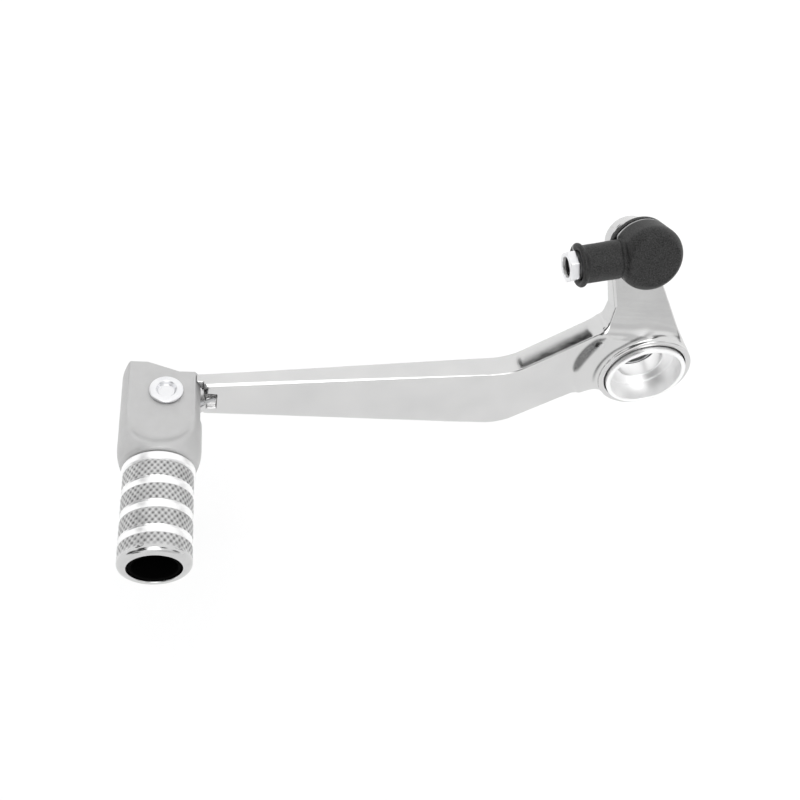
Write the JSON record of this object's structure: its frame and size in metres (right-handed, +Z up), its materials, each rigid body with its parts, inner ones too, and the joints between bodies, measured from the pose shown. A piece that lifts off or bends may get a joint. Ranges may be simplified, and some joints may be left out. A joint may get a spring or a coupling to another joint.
{
  "type": "motorcycle gear shift lever",
  "caption": "Gear shift lever: arm with a pivot hub, folding sprung toe peg with a knurled sleeve, and a crank whose booted ball joint takes the shift rod.",
  "frame": {"origin": "on the pivot axis, in the plane of the arm's outer face", "axes": "+X runs back from the toe peg to the pivot, -Y along the pivot axis away from the motorcycle, +Z up"},
  "size_m": [0.1787, 0.0754, 0.0912],
  "materials": {
    "polished_aluminium": "polished",
    "blasted_aluminium": "matte bead-blasted",
    "knurled_aluminium": "diamond knurled with turned grooves",
    "bright_steel": "turned bright",
    "zinc_plated_steel": "bright zinc plated",
    "spring_steel": "satin",
    "bronze": "satin",
    "seal_rubber": "matte",
    "boot_rubber": "matte",
    "black_plastic": "matte"
  },
  "bodies": {
    "mounting": {"pivot_bush": "bright_steel", "wave_washer": "spring_steel", "thrust_washer": "bright_steel"},
    "lever": {"lever_arm": "polished_aluminium", "bearing_liner": "bronze", "outer_seal": "seal_rubber", "inner_seal": "seal_rubber", "toe_pin": "zinc_plated_steel", "pin_washer": "zinc_plated_steel", "toe_spring": "spring_steel", "ball_stud": "zinc_plated_steel"},
    "toe_peg": {"toe_block": "blasted_aluminium", "toe_sleeve": "knurled_aluminium", "grip_plug": "black_plastic"},
    "joint_turn": {"stud_washer": "spring_steel"},
    "socket": {"ball_socket": "zinc_plated_steel", "socket_clip": "spring_steel", "socket_boot": "boot_rubber"}
  },
  "joints": [
    {"name": "lever_pivot", "type": "hinge", "parent": "mounting", "child": "lever", "pos_m": [0, 0, 0], "axis": [0, 1, 0], "range_deg": [-15, 15]},
    {"name": "toe_fold", "type": "hinge", "parent": "lever", "child": "toe_peg", "pos_m": [-0.15, -0.0019, -0.024], "axis": [0, 0, 1], "range_deg": [0, 40], "stiffness_Nm_per_rad": 0.06, "springref_deg": -45.84},
    {"name": "socket_swivel", "type": "hinge", "parent": "lever", "child": "joint_turn", "pos_m": [-0.0184, 0.00148, 0.04589], "axis": [0, -0.9272, 0.3746], "continuous": true},
    {"name": "socket_tilt", "type": "hinge", "parent": "joint_turn", "child": "socket", "pos_m": [-0.0184, 0.00148, 0.04589], "axis": [-0.225, 0.365, 0.9034], "range_deg": [-10, 10]}
  ]
}
